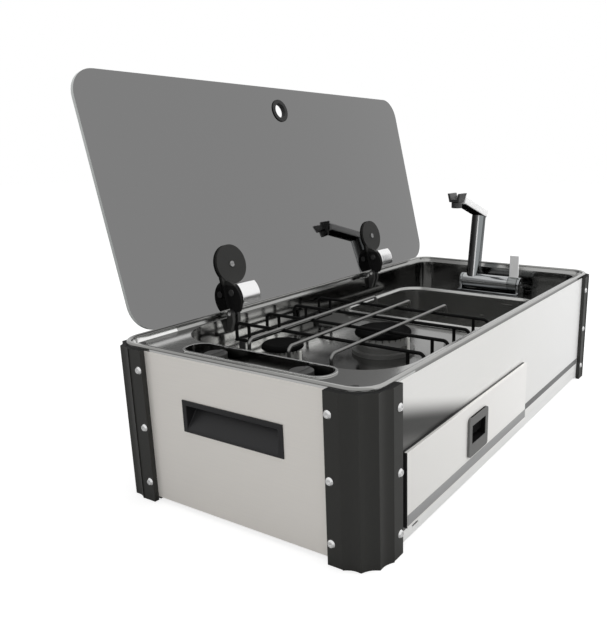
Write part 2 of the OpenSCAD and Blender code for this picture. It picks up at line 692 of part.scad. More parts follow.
module lid_grommet() color([0.08, 0.08, 0.08]) opened() difference() {
    union() {
        rod_z(0, grommet_y, lid_under - grommet_lip, lid_under, grommet_d);
        rod_z(0, grommet_y, lid_under - grommet_lip, lid_under + glass_t + grommet_lip, grommet_hole - 2 * run);
        rod_z(0, grommet_y, lid_under + glass_t, lid_under + glass_t + grommet_lip, grommet_d);
    }
    rod_z(0, grommet_y, lid_under - 2 * grommet_lip, lid_under + glass_t + 2 * grommet_lip,
        grommet_hole - 2 * grommet_wall);
}
module cheek_outline() {
    intersection() {
        translate([cheek_y, cheek_z]) circle(cheek_r);
        translate([hinge_y - 3 * cheek_r, lid_under - fit - 2 * cheek_r]) square([3 * cheek_r, 2 * cheek_r]);
    }
    translate([hinge_y, hinge_z]) circle(knuckle_r);
}
module hinge_arm(s) color([0.12, 0.12, 0.12]) opened() translate([s * hinge_place, 0, 0]) difference() {
    union() {
        rod_z(0, disc_y, lid_under - disc_t, lid_under, disc_d);
        translate([cheek_off - cheek_t / 2 - rib_w, disc_y, lid_under - rib_t])
            cube([rib_w + cheek_t / 2, lid_rear - disc_y - 2 * fit, rib_t]);
        translate([cheek_off, 0, 0]) rotate([90, 0, 90]) linear_extrude(cheek_t, center = true) cheek_outline();
    }
    rod_z(0, disc_y, lid_under - disc_t - over, lid_under + over, bolt_d + 2 * run);
    rod_x(cheek_off - cheek_t, cheek_off + cheek_t, hinge_y, hinge_z, 2 * pin_r + 2 * run);
    rod_x(cheek_off - cheek_t, cheek_off + cheek_t, lid_rear - spindle_s, lid_under - spindle_down,
        spindle_d + 2 * run);
}
module hinge_backing_discs() color([0.1, 0.1, 0.1]) opened() for (s = [-1, 1]) difference() {
    rod_z(s * hinge_place, disc_y, lid_under + glass_t, lid_under + glass_t + disc_t, disc_d);
    rod_z(s * hinge_place, disc_y, lid_under + glass_t - over, lid_under + glass_t + disc_t + over,
        bolt_d + 2 * run);
}
module hinge_disc_screws() color("silver") opened() for (s = [-1, 1]) difference() {
    union() {
        rod_z(s * hinge_place, disc_y, lid_under - disc_t - bolt_lip, lid_under - disc_t, bolt_d + bolt_lap);
        rod_z(s * hinge_place, disc_y, lid_under - disc_t - over, lid_under + glass_t + disc_t, bolt_d);
    }
    translate([s * hinge_place - bolt_d, disc_y - bolt_slot / 2, lid_under - disc_t - 2 * bolt_lip])
        cube([2 * bolt_d, bolt_slot, 2 * bolt_lip - bolt_slot / 2]);
}
module cover_outline() intersection() {
    translate([lid_rear - cover_s, lid_under + cover_up]) circle(cheek_r);
    translate([lid_rear - cover_s2, lid_under - fit - 2 * cheek_r]) square([cover_s2 - cover_s1, 2 * cheek_r]);
}
module hinge_cover(s) color("silver") opened() translate([s * hinge_place + cheek_off, 0, 0]) {
    translate([cheek_t / 2 + fit, 0, 0]) rotate([90, 0, 90]) linear_extrude(cover_len) cover_outline();
    rod_x(-cheek_t / 2 - over, cheek_t, lid_rear - spindle_s, lid_under - spindle_down, spindle_d);
    rod_x(-cheek_t / 2 - 2 * over, -cheek_t / 2 - fit, lid_rear - spindle_s, lid_under - spindle_down,
        spindle_d + 2 * spindle_head);
}
ear_t = 6;
ear_gap = cheek_t / 2 + fit;
plate_y = recess_y2 - fit;
bracket_deep = 22;
ear_rise = 4;
bracket_low = deck_z - bracket_deep;
module ear_outline() {
    translate([hinge_y, hinge_z]) circle(knuckle_r);
    polygon([
        [hinge_y - knuckle_r, hinge_z],
        [hinge_y + knuckle_r, hinge_z],
        [plate_y, deck_z],
        [plate_y, bracket_low],
        [plate_y - 2 * panel_t, bracket_low],
        [hinge_y - knuckle_r, deck_z - ear_rise]
    ]);
}
module hinge_bracket(s) color([0.55, 0.55, 0.54]) translate([s * hinge_place + cheek_off, 0, 0]) difference() {
    union() {
        for (e = [-1, 1]) translate([e * (ear_gap + ear_t / 2), 0, 0]) rotate([90, 0, 90])
            linear_extrude(ear_t, center = true) ear_outline();
        translate([-ear_gap - ear_t, plate_y - panel_t / 2, bracket_low])
            cube([2 * (ear_gap + ear_t), panel_t / 2, deck_z - bracket_low - over]);
    }
    rod_x(-ear_gap - ear_t - over, ear_gap + ear_t + over, hinge_y, hinge_z, 2 * pin_r + run / 2);
}
module hinge_pins() color("silver") for (s = [-1, 1]) translate([s * hinge_place + cheek_off, 0, 0])
    rod_x(-ear_gap - ear_t - over, ear_gap + ear_t + over, hinge_y, hinge_z, 2 * pin_r);

// Tap: a base with two lugs, and a barrel, post and spout that fold down together
tap_y = 38;
tap_y1 = -66;
tap_y2 = 58;
lug_t = 6;
journal_d = 12;
neck_d = 14;
lever_w = 20;
lever_h = 60;
lever_t = 3;
post_lean = 9.5;
arm_rise = 18;
plate_t = 2.5;
plate_in = 24; // base plate, from the tap's axis towards the bowl
plate_out = 18;
module tap_base() color("silver") difference() {
    union() {
        translate([tap_mid - plate_in, tap_y1 - lug_t, floor_z])
            cube([plate_in + plate_out, tap_y2 - tap_y1 + 2 * lug_t, plate_t]);
        for (y = [tap_y1 - lug_t, tap_y2]) {
            rod_y(tap_mid, y, y + lug_t, tap_z, tap_barrel_d);
            translate([tap_mid - tap_barrel_d / 2, y, floor_z]) cube([tap_barrel_d, lug_t, tap_z - floor_z]);
        }
    }
    rod_y(tap_mid, tap_y1 - lug_t - over, tap_y2 + lug_t + over, tap_z, journal_d + 2 * run);
}
module tap_barrel() color("silver") {
    rod_y(tap_mid, tap_y1 - lug_t, tap_y2 + lug_t, tap_z, journal_d);
    rod_y(tap_mid, tap_y1 + fit, tap_y2 - fit, tap_z, neck_d);
    rod_y(tap_mid, tap_y1 + fit + lever_w + 2 * fit, tap_y2 - fit, tap_z, tap_barrel_d);
}
module at_post() translate([tap_mid, tap_y, tap_z]) rotate([0, post_lean, 0]) children();
module at_arm() at_post() translate([0, 0, post_len]) rotate([0, arm_rise - post_lean, 0]) children();
module tap_post() color([0.8, 0.8, 0.82]) difference() {
    at_post() linear_extrude(post_len + arm_h)
        round_rect(-post_d / 2, post_d / 2, -post_w / 2, post_w / 2, post_d * 0.4);
    rod_y(tap_mid, tap_y - post_w, tap_y + post_w, tap_z, tap_barrel_d + 2 * run);
    at_arm() translate([-2 * post_w, -post_w, -arm_h / 2]) cube([4 * post_w, 2 * post_w, 3 * arm_h]);
}
module tap_arm() color([0.82, 0.82, 0.84]) at_arm() rotate([0, 90, 0]) translate([0, 0, -arm_len])
    linear_extrude(arm_len + post_d * 0.55)
        round_rect(-arm_h / 2, arm_h / 2, -post_w / 2, post_w / 2, arm_h / 4);
head_len = 28;
head_up = 13; // head's top above the middle of the arm's end
head_floor = 2;
head_down = 4;
head_taper = 4; // narrower at the foot than at the top, on each side
prong_w = 5;
prong_slope = 3;
aerator_d = 21;
aerator_h = 12;
aerator_wall = 3;
module at_head() at_arm() translate([-arm_len, 0, 0]) rotate([0, -arm_rise, 0]) children();
module head_outline() polygon([
    [-post_w / 2, head_up],
    [prong_w - post_w / 2, head_up],
    [prong_w + prong_slope - post_w / 2, head_floor],
    [post_w / 2 - prong_w - prong_slope, head_floor],
    [post_w / 2 - prong_w, head_up],
    [post_w / 2, head_up],
    [post_w / 2 - head_taper, -head_down],
    [head_taper - post_w / 2, -head_down]
]);
module tap_head() color([0.7, 0.7, 0.72]) difference() {
    at_head() translate([-head_len, 0, 0]) rotate([90, 0, 90]) linear_extrude(2 * head_len) head_outline();
    at_arm() translate([-arm_len, -post_w, -2 * head_len]) cube([4 * head_len, 2 * post_w, 4 * head_len]);
}
module tap_aerator() color([0.2, 0.2, 0.2]) at_head() difference() {
    rod_z(-head_len / 2, 0, -head_down - aerator_h, -head_down, aerator_d);
    rod_z(-head_len / 2, 0, -head_down - aerator_h - over, -head_down - aerator_wall, aerator_d - 2 * aerator_wall);
}
module tap_lever() color([0.85, 0.85, 0.85]) difference() {
    union() {
        rod_y(tap_mid, tap_y1 + 2 * fit, tap_y1 + lever_w + fit, tap_z, tap_barrel_d);
        translate([tap_mid - lever_t / 2, tap_y1 + 2 * fit, tap_z]) cube([lever_t, lever_w - fit, lever_h]);
    }
    rod_y(tap_mid, tap_y1, tap_y1 + 2 * lever_w, tap_z, neck_d + 2 * run);
}
nut_lap = 7;
nut_h = 9;
module tap_shank() color([0.7, 0.58, 0.3]) {
    rod_z(shank_x, shank_y, water_z - water_pipe_d, floor_z, shank_d);
    translate([shank_x, shank_y, floor_z - tray_t - nut_h])
        cylinder(d = shank_d + 2 * nut_lap, h = nut_h, $fn = 6);
}
module water_pipe() color([0.15, 0.3, 0.6]) difference() {
    union() {
        rod_y(water_x, shank_y + shank_d / 2 + fit, hy + tail_out, water_z, water_pipe_d);
        collar(water_x, water_z, water_pipe_d);
    }
    rod_y(water_x, shank_y + shank_d / 2 + water_plug, hy + tail_out + over, water_z,
        water_pipe_d - 2 * water_wall);
}

// Drawer, its latch and its runners
drawer_face = -hy - drawer_proud;
box_in = 10; // drawer box inside its front, at the hob end
box_in2 = 18;
box_gap = 2; // drawer box inside the panel's opening
box_x = drawer_left + box_in;
box_x2 = drawer_x2 - box_in2;
box_z = drawer_z + drawer_lap + box_gap;
box_z2 = drawer_z + drawer_h - drawer_lap - box_gap;
latch_x = drawer_left + drawer_l / 2;
latch_up = 2.5; // latch above the middle of the front
latch_z = drawer_z + drawer_h / 2 + latch_up;
latch_r = 5;
latch_proud = 3.5;
hole_w = 45;
hole_h = 27;
hole_up = 18.5; // hole above the plate's lower edge
hole_z = latch_z - latch_h / 2 + hole_up;
latch_cup = 16;
latch_wall = 1.2;
module drawer_box() color([0.75, 0.75, 0.74]) difference() {
    translate([box_x, -hy - fit, box_z]) cube([box_x2 - box_x, drawer_deep, box_z2 - box_z]);
    translate([box_x + drawer_t, -hy - fit + drawer_t, box_z + drawer_t])
        cube([box_x2 - box_x - 2 * drawer_t, drawer_deep - 2 * drawer_t, box_z2 - box_z]);
    translate([latch_x - hole_w / 2 - 2 * latch_wall, -hy - 2 * fit, hole_z - 2 * latch_wall])
        cube([hole_w + 4 * latch_wall, drawer_t + 2 * over, hole_h + 4 * latch_wall]);
}
module drawer_front() color([0.88, 0.88, 0.86]) difference() {
    translate([drawer_left, drawer_face, drawer_z]) cube([drawer_l, drawer_proud - fit, drawer_h]);
    translate([latch_x - hole_w / 2 - 2 * latch_wall, drawer_face - over, hole_z - 2 * latch_wall])
        cube([hole_w + 4 * latch_wall, drawer_proud + 2 * over, hole_h + 4 * latch_wall]);
}
module latch_plate() color([0.45, 0.45, 0.45]) difference() {
    union() {
        translate([latch_x, drawer_face, latch_z]) rotate([90, 0, 0])
            linear_extrude(latch_proud)
                round_rect(-latch_w / 2, latch_w / 2, -latch_h / 2, latch_h / 2, latch_r);
        translate([latch_x - hole_w / 2 - latch_wall, drawer_face - over, hole_z - latch_wall])
            cube([hole_w + 2 * latch_wall, latch_cup + over, hole_h + 2 * latch_wall]);
    }
    translate([latch_x - hole_w / 2, drawer_face - latch_proud - over, hole_z])
        cube([hole_w, latch_cup + latch_proud + over - latch_wall, hole_h]);
}
paddle_t = 2.5;
paddle_in = 4; // paddle's pin behind the front's face
paddle_y = drawer_face + paddle_in;
paddle_z = hole_z + hole_h - paddle_t;
module latch_paddle() color([0.1, 0.1, 0.1]) {
    rod_x(latch_x - hole_w / 2 + fit, latch_x + hole_w / 2 - fit, paddle_y, paddle_z, paddle_t);
    translate([latch_x - hole_w / 2 + over, paddle_y - paddle_t / 2, paddle_z - hole_h * 0.6])
        cube([hole_w - 2 * over, paddle_t, hole_h * 0.6]);
}
slide_t = 3.7;
slide_up = 8;
slide_z = box_z + slide_up;
slide_h = 6;
runner_t = 2;
module drawer_slides() color("silver") for (x = [box_x - slide_t, box_x2])
    translate([x, -hy + panel_t + 4 * fit, slide_z]) cube([slide_t, drawer_deep * 0.9, slide_h]);
module drawer_runners() color([0.6, 0.6, 0.6]) for (s = [0, 1])
    translate([s ? box_x2 + slide_t + fit : box_x - slide_t - fit - runner_t, tray_t + fit - base_y, tray_t]) {
        cube([runner_t, drawer_deep * 0.9, slide_z + slide_h - tray_t]);
        translate([s ? -slide_t * 0.6 : 0, 0, slide_z - fit - runner_t - tray_t])
            cube([runner_t + slide_t * 0.6, drawer_deep * 0.9, runner_t]);
    }

front_panel();
rear_panel();
end_panel(-1);  // left_end_panel
end_panel(1);  // right_end_panel
corner_profile(-1, -1);  // corner_profile_front_left
corner_profile(1, -1);  // corner_profile_front_right
corner_profile(-1, 1);  // corner_profile_rear_left
corner_profile(1, 1);  // corner_profile_rear_right
panel_screws();
carry_handle(-1);  // carry_handle_left
carry_handle(1);  // carry_handle_right
base_tray();
top_tray();
lid_buffers();
sink_bowl();
waste_strainer();
waste_elbow();
burner_body(small_mid, small_y, small_cap_d);  // burner_body_small
burner_crown(small_mid, small_y, small_cap_d);  // burner_crown_small
burner_cap(small_mid, small_y, small_cap_d);  // burner_cap_small
burner_body(large_mid, large_y, large_cap_d);  // burner_body_large
burner_crown(large_mid, large_y, large_cap_d);  // burner_crown_large
burner_cap(large_mid, large_y, large_cap_d);  // burner_cap_large
igniters();
pan_support_wires();
pan_support_rods();
pan_support_feet();
control_knob(-1);  // control_knob_front
control_knob(1);  // control_knob_rear
gas_valve(-1);  // gas_valve_front
gas_valve(1);  // gas_valve_rear
gas_rail();
glass_lid();
lid_grommet();
hinge_arm(-1);  // hinge_arm_left
hinge_arm(1);  // hinge_arm_right
hinge_backing_discs();
hinge_disc_screws();
hinge_cover(-1);  // hinge_cover_left
hinge_cover(1);  // hinge_cover_right
hinge_bracket(-1);  // hinge_bracket_left
hinge_bracket(1);  // hinge_bracket_right
hinge_pins();
tap_base();
tap_barrel();
tap_post();
tap_arm();
tap_head();
tap_aerator();
tap_lever();
tap_shank();
water_pipe();
drawer_box();
drawer_front();
latch_plate();
latch_paddle();
drawer_slides();
drawer_runners();
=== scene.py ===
import json
import math

import bmesh
import bpy
from mathutils import Matrix, Vector


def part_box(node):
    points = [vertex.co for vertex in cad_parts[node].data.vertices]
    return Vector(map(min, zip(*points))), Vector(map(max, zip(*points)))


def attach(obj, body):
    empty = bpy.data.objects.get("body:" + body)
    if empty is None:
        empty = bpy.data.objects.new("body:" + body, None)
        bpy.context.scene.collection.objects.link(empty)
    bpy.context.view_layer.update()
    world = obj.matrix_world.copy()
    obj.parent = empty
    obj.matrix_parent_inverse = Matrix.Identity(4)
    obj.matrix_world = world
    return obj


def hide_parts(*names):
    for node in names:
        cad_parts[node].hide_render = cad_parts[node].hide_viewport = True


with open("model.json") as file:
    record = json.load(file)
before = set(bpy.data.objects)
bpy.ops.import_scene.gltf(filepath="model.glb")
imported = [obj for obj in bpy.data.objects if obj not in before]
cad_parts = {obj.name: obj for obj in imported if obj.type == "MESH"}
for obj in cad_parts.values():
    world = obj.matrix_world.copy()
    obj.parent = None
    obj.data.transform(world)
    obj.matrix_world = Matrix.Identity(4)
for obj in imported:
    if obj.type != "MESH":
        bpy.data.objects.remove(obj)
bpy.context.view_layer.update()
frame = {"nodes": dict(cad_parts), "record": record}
nodes = frame["nodes"]
record = frame["record"]

# Camera
# A low three-quarter view from the hob end, past the near corner profile,
# with the frame shifted as the photograph's framing needs.
eye = (-0.9734, -0.5636, 0.4627)
look_down = 15.03
look_turn = 29.94
focal_px = 681.8
frame_w, frame_h = 607, 630
centre_px = (405.98, 330.13)
camera_data = bpy.data.cameras.new("camera")
camera = bpy.data.objects.new("camera", camera_data)
bpy.context.scene.collection.objects.link(camera)
camera.location = eye
camera.rotation_euler = (math.radians(90 - look_down), 0, math.radians(look_turn - 90))
camera_data.sensor_width = 36
camera_data.lens = focal_px / frame_h * camera_data.sensor_width
camera_data.shift_x = (frame_w / 2 - centre_px[0]) / frame_h
camera_data.shift_y = (centre_px[1] - frame_h / 2) / frame_h
camera_data.clip_start = 0.02
bpy.context.scene.camera = camera
bpy.context.scene.view_settings.view_transform = "Standard"


# Studio
# A white room: even light from all round, a broad soft lamp over the front
# and a weaker one over the hob end, on a plain white floor.
class Value:
    """A shader socket that adds Math nodes when it is used in an expression."""

    def __init__(self, tree, socket):
        self.tree = tree
        self.socket = socket

    def math(self, operation, a, b):
        return self.tree.node("ShaderNodeMath", {"operation": operation}, a, b)

    def __add__(self, other):
        return self.math("ADD", self, other)

    def __radd__(self, other):
        return self.math("ADD", other, self)

    def __sub__(self, other):
        return self.math("SUBTRACT", self, other)

    def __rsub__(self, other):
        return self.math("SUBTRACT", other, self)

    def __mul__(self, other):
        return self.math("MULTIPLY", self, other)

    def __rmul__(self, other):
        return self.math("MULTIPLY", other, self)

    def __gt__(self, other):
        return self.math("GREATER_THAN", self, other)

    def __lt__(self, other):
        return self.math("LESS_THAN", self, other)


class Finish:
    """One node tree. node() makes any node, and returns its first output as a Value."""

    def __init__(self, tree):
        self.tree = tree
        tree.nodes.clear()

    def node(self, kind, settings=None, *values, output=0, **named):
        made = self.tree.nodes.new(kind)
        for key, value in (settings or {}).items():
            setattr(made, key, value)
        sockets = list(zip(made.inputs, values))
        sockets += [(made.inputs[k.replace("_", " ")], v) for k, v in named.items()]
        for socket, value in sockets:
            if value is None:
                continue
            if isinstance(value, Value):
                self.tree.links.new(value.socket, socket)
            elif socket.type == "RGBA":
                socket.default_value = (*value, 1)
            else:
                socket.default_value = value
        return Value(self, made.outputs[output]) if made.outputs else None

    def place(self, scale=(1, 1, 1)):
        """The object coordinates of the point, scaled on each axis."""
        point = self.node("ShaderNodeTexCoord", output=3)
        return self.node("ShaderNodeMapping", None, Vector=point, Scale=scale)

    def noise(self, scale, detail=2.0, stretch=(1, 1, 1)):
        return self.node("ShaderNodeTexNoise", None, Vector=self.place(stretch), Scale=scale, Detail=detail)

    def mix(self, factor, a, b):
        made = self.tree.nodes.new("ShaderNodeMix")
        made.data_type = "RGBA"
        for socket, value in zip((made.inputs[0], made.inputs[6], made.inputs[7]), (factor, a, b)):
            if isinstance(value, Value):
                self.tree.links.new(value.socket, socket)
            else:
                socket.default_value = value if socket.type != "RGBA" else (*value, 1)
        return Value(self, made.outputs[2])


scene_world = bpy.data.worlds.new("studio")
bpy.context.scene.world = scene_world
scene_world.use_nodes = True
studio = Finish(scene_world.node_tree)
seen_light = 1.0
room_light = 0.62
path_outputs = {"camera": 0, "glossy": 3, "transmission": 6}


def ray_is(finish, *kinds):
    """1 where a ray of one of these kinds arrives."""
    most = 0.0
    for kind in kinds:
        ray = finish.node("ShaderNodeLightPath", output=path_outputs[kind])
        most = finish.node("ShaderNodeMath", {"operation": "MAXIMUM"}, ray, most)
    return most


extra_light = (seen_light - room_light) * ray_is(studio, "camera", "glossy", "transmission")
background = studio.node("ShaderNodeBackground", None, Color=(1, 1, 1), Strength=room_light + extra_light)
studio.node("ShaderNodeOutputWorld", None, Surface=background)


def lamp(name, place, aim, size, watts):
    data = bpy.data.lights.new(name, "AREA")
    data.shape = "RECTANGLE"
    data.size, data.size_y = size
    data.energy = watts
    lamp_object = bpy.data.objects.new(name, data)
    bpy.context.scene.collection.objects.link(lamp_object)
    lamp_object.location = place
    lamp_object.rotation_euler = (Vector(aim) - Vector(place)).to_track_quat("-Z", "Y").to_euler()
    lamp_object.visible_camera = False
    lamp_object.visible_glossy = False


lamp("front_lamp", (1.0, -2.3, 1.2), (0.15, 0, 0.1), (2.4, 1.4), 38)
lamp("end_lamp", (-2.6, -0.3, 1.2), (0, 0, 0.1), (1.4, 1.2), 8)
lamp("top_lamp", (0.2, 0.1, 2.4), (0, 0, 0), (2.0, 1.6), 14)

floor_mesh = bpy.data.meshes.new("floor")
floor_shape = bmesh.new()
bmesh.ops.create_grid(floor_shape, x_segments=1, y_segments=1, size=8)
floor_shape.to_mesh(floor_mesh)
floor_shape.free()
floor = bpy.data.objects.new("floor", floor_mesh)
bpy.context.scene.collection.objects.link(floor)
floor_material = bpy.data.materials.new("white_floor")
floor_material.use_nodes = True
floor_finish = Finish(floor_material.node_tree)
floor_seen = ray_is(floor_finish, "camera", "transmission")
floor_glow = floor_finish.node("ShaderNodeEmission", None, Color=(1, 1, 1), Strength=0.7 * floor_seen)
floor_paint = floor_finish.node("ShaderNodeBsdfDiffuse", None, Color=(0.5, 0.5, 0.5))
floor_look = floor_finish.node("ShaderNodeAddShader", None, floor_glow, floor_paint)
floor_finish.node("ShaderNodeOutputMaterial", None, Surface=floor_look)
floor_mesh.materials.append(floor_material)
floor.location.z = -0.0006


# Sheet panels
# Satin aluminium sheets, held in the corner profiles. The brushing runs along
# each panel, and the end panels are painted a shade darker than the front as painted shade.
def surface(name, paint):
    """A Principled material. paint gets the tree's Finish, and returns its sockets' values."""
    material = bpy.data.materials.new(name)
    material.use_nodes = True
    finish = Finish(material.node_tree)
    shader = finish.node("ShaderNodeBsdfPrincipled", None, **paint(finish))
    finish.node("ShaderNodeOutputMaterial", None, Surface=shader)
    return material


def grain(finish, depth, height):
    return finish.node("ShaderNodeBump", None, Strength=depth, Distance=0.001, Height=height)


def turned_to(finish, *way):
    """How far the surface faces one way: 1 when it looks straight along it."""
    facing = finish.node("ShaderNodeTexCoord", output=1)
    return finish.node("ShaderNodeVectorMath", {"operation": "DOT_PRODUCT"}, facing, way, output=1)


def spot_of(finish):
    """The object coordinates of the point, one value for each axis."""
    return [finish.node("ShaderNodeSeparateXYZ", None, finish.place(), output=k) for k in range(3)]


def ramp(finish, value, start, end, first=1.0, last=0.0, soft=True):
    kind = {"interpolation_type": "SMOOTHSTEP" if soft else "LINEAR"}
    return finish.node("ShaderNodeMapRange", kind, value, start, end, first, last)


def dress(material, *names):
    for name in names:
        mesh = nodes[name].data
        mesh.materials.clear()
        mesh.materials.append(material)


def body_named(name):
    return next(body for body, members in record["behaviour"]["bodies"].items() if name in members)


def add_piece(name, shape, body, material, smooth=40):
    """A new piece from a bmesh, in place, that rides on a body."""
    for face in shape.faces:
        face.smooth = True
    for edge in shape.edges:
        edge.smooth = len(edge.link_faces) == 2 and edge.calc_face_angle(0) < math.radians(smooth)
    mesh = bpy.data.meshes.new(name)
    shape.to_mesh(mesh)
    shape.free()
    piece = bpy.data.objects.new(name, mesh)
    bpy.context.scene.collection.objects.link(piece)
    mesh.materials.append(material)
    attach(piece, body)
    return piece


flat = math.radians(0.6)
same_place = 2e-6


def rounded(node, width, material, segments=2, smooth=40, reshape=None):
    """A copy of a CAD piece with its sharp edges broken, in place of it."""
    shape = bmesh.new()
    shape.from_mesh(nodes[node].data)
    bmesh.ops.remove_doubles(shape, verts=shape.verts, dist=same_place)
    bmesh.ops.dissolve_limit(
        shape, angle_limit=flat, use_dissolve_boundaries=False, verts=shape.verts, edges=shape.edges
    )
    if reshape:
        reshape(shape)
    piece = add_piece(node + "_finished", shape, body_named(node), material, smooth)
    bevel = piece.modifiers.new("broken_edges", "BEVEL")
    bevel.width = width
    bevel.segments = segments
    bevel.limit_method = "ANGLE"
    bevel.angle_limit = math.radians(smooth)
    bevel.use_clamp_overlap = True
    bevel.harden_normals = False
    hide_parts(node)


def brushed(colour, metal, rough, stretch, shade=0.04):
    def paint(finish):
        streak = finish.noise(900, 3, stretch)
        cloud = finish.noise(6, 2)
        dark = [c * (1 - shade) for c in colour]
        pale = [c * (1 + shade) for c in colour]
        return {
            "Base_Color": finish.mix(streak * 0.6 + cloud * 0.4, dark, pale),
            "Metallic": metal,
            "Roughness": rough + 0.1 * streak,
            "Normal": grain(finish, 0.05, streak),
        }

    return paint


# Painted shade: the end sheets' grey is darker than the front sheet's.
end_shaded_grey = (0.86, 0.83, 0.785)
front_pale = (0.86, 0.855, 0.835)
end_sheet = surface("end_sheet", brushed(end_shaded_grey, 0.35, 0.36, (1, 0.02, 1)))
front_brushing = brushed(front_pale, 0.3, 0.34, (0.02, 1, 1))
front_sheet = surface("front_sheet", front_brushing)
shadow_x = (-0.335, -0.15, -0.1)
shadow_z = (0.125, 0.147, 0.156, 0.187)
shadow_fall = 0.3
painted_light_x = (-0.1, 0.36)


def front_shaded(finish):
    """The front sheet: painted light makes it paler towards the tap end, and a soft patch of painted shadow
    darkens it above the drawer.
    """
    values = front_brushing(finish)
    x, y, z = spot_of(finish)
    # Painted light: the sheet grows paler towards the tap end.
    painted_light_towards_tap = ramp(finish, x, *painted_light_x, 0.0, 1.0, False)
    with_painted_light = finish.mix(painted_light_towards_tap, values["Base_Color"], (0.95, 0.95, 0.945))
    # Painted shadow: a soft dark patch above the drawer, with a sloping upper edge.
    height = z + shadow_fall * (x - shadow_x[0])
    across = ramp(finish, x, *shadow_x[1:]) * ramp(finish, height, *shadow_z[:2], 0.88, 1.0)
    patch = across * ramp(finish, height, *shadow_z[2:])
    values["Base_Color"] = finish.mix(patch, with_painted_light, (0.05, 0.05, 0.048))
    return values


front_dark = surface("front_shaded", front_shaded)
dress(end_sheet, "left_end_panel", "right_end_panel")
dress(front_sheet, "rear_panel")
dress(front_dark, "front_panel")
galvanised = surface("galvanised", brushed((0.9, 0.9, 0.89), 0.3, 0.38, (0.02, 1, 1), 0.04))
dress(galvanised, "base_tray", "drawer_box", "drawer_runners")


# Corner profiles
# Extruded aluminium, black anodised, with five hollowed facets between
# rounded ridges. Six button-head screws hold the panels in each.
def satin(colour, rough, scale=260, depth=0.12, shade=0.12, **sockets):
    def paint(finish):
        fleck = finish.noise(scale, 4)
        cloud = finish.noise(9, 2)
        dark = [c * (1 - shade) for c in colour]
        pale = [c * (1 + shade) for c in colour]
        values = {
            "Base_Color": finish.mix(fleck * 0.5 + cloud * 0.5, dark, pale),
            "Roughness": rough + 0.08 * cloud,
            "Normal": grain(finish, depth, fleck),
        }
        values.update(sockets)
        return values

    return paint


face_turn = 0.7


def profile_paint(finish):
    """Black anodised aluminium; the sawn top, in the rim's shadow, is dullest and painted darker as painted
    shade.
    """
    sawn = turned_to(finish, 0, 0, 1) > face_turn
    cloud = finish.noise(380, 3)
    return {
        # Painted shade: the upward-facing top is painted near black.
        "Base_Color": finish.mix(sawn, (0.02, 0.02, 0.018), (0.003, 0.003, 0.003)),
        "Roughness": 0.38 + 0.04 * cloud + 0.5 * sawn,
        "Specular_IOR_Level": 0.4,
        "Normal": grain(finish, 0.03, cloud),
    }


corner_axis = (0.382, 0.165)
corner_reach = 0.0378
corner_hollow = 0.0017
facet_turn = 30


def flute(shape):
    """Hollows the facets of a corner a little deeper between their ridges."""
    for vert in shape.verts:
        x, y = abs(vert.co.x) - corner_axis[0], abs(vert.co.y) - corner_axis[1]
        reach = math.hypot(x, y)
        if min(x, y) > 0.0001 and reach > corner_reach:
            turn = math.degrees(math.atan2(y, x)) / facet_turn % 1
            kept = 1 - corner_hollow * 4 * turn * (1 - turn) / reach
            vert.co.x = math.copysign(corner_axis[0] + x * kept, vert.co.x)
            vert.co.y = math.copysign(corner_axis[1] + y * kept, vert.co.y)


anodised = surface("black_anodised", profile_paint)
for corner in ("front_left", "front_right", "rear_left", "rear_right"):
    rounded("corner_profile_" + corner, 0.0011, anodised, 3, 24, flute)
bright_steel = surface("bright_steel", satin((0.72, 0.72, 0.72), 0.16, 300, 0.03, 0.04, Metallic=1.0))
screw_steel = surface("screw_steel", satin((0.82, 0.82, 0.82), 0.2, 300, 0.03, 0.04, Metallic=0.7))
rounded("panel_screws", 0.0009, screw_steel, 3, 30)

# Carry handles
# Moulded black shells with a flange on the panel and a floor that slopes out.
moulded = surface("black_moulding", satin((0.016, 0.016, 0.017), 0.42, 700, 0.2, Specular_IOR_Level=0.3))
for side in ("left", "right"):
    rounded("carry_handle_" + side, 0.0011, moulded, 3, 30)

# Top tray and sink
# One pressed stainless sheet with a rolled rim, and a bowl with a raised bead
# set into its floor. Both are satin, and mirror the dark lid; the tray's colours
# add painted reflection, painted highlights and painted shade.
recess_z = (0.2, 0.207)
rim_z = 0.214
bead_z = 0.2085
bead_reach = 0.32
reflection_patch_x = (-0.275, -0.235, -0.14, -0.04)
reflection_patch_y = (0.015, 0.06)
rear_shade_y = (0.16, 0.18)
rear_shade_x = (-0.3, -0.24)


